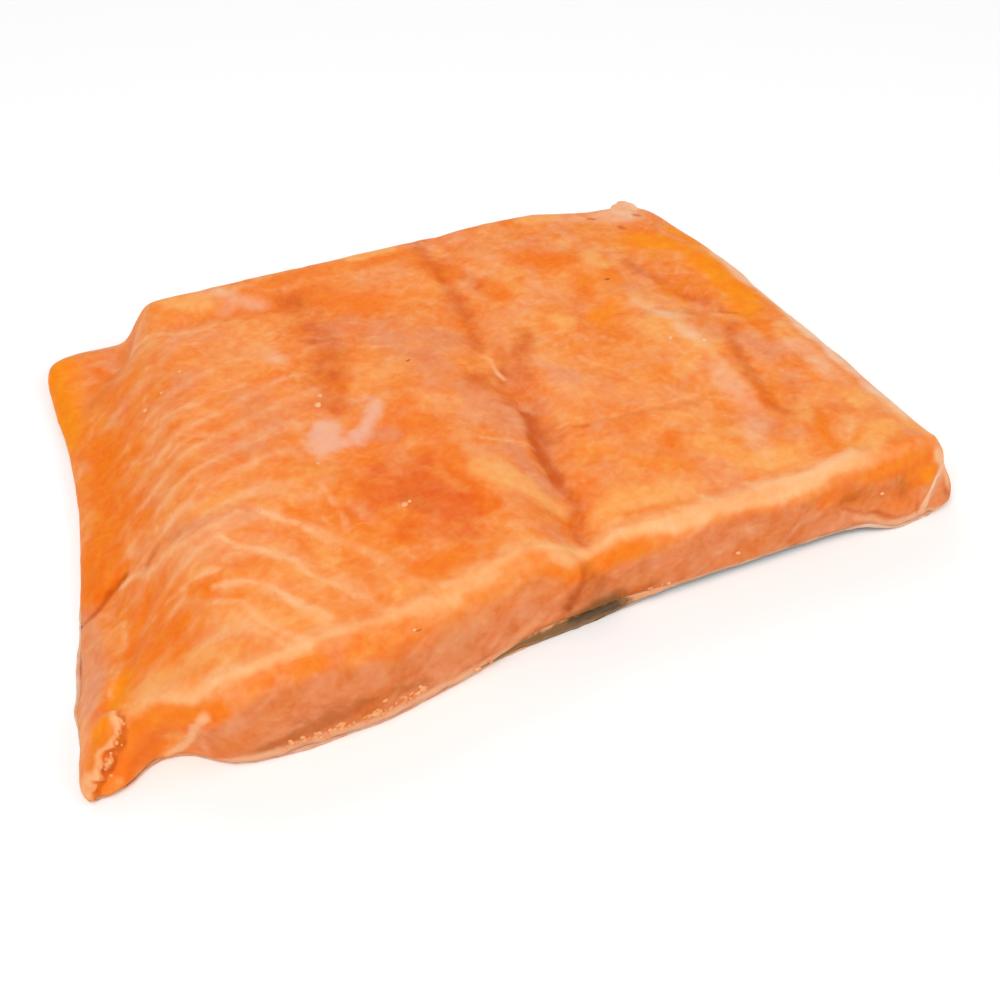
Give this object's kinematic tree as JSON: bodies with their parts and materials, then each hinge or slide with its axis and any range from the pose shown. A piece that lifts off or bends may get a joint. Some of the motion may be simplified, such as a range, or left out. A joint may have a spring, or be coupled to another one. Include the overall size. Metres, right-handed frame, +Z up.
{
  "type": "salmon portion",
  "caption": "Raw Atlantic salmon fillet portion, flesh side up: thick loin with a deep groove, flaky sloping belly side, crisp cut faces, and skin underneath.",
  "frame": {"origin": "middle of the footprint, on the surface that the portion rests on", "axes": "+X across the fillet along the near cut, from the thin belly side to the back; +Y along the fish, from the near cut to the far one; +Z up, out of the flesh side"},
  "size_m": [0.1472, 0.106, 0.0179],
  "materials": {
    "flesh": "raw salmon flesh, moist and slightly translucent, under a thin clear ice glaze",
    "skin": "damp grey-green fish skin, satin"
  },
  "bodies": {
    "root": {"salmon_flesh": "flesh", "salmon_skin": "skin"}
  },
  "joints": []
}
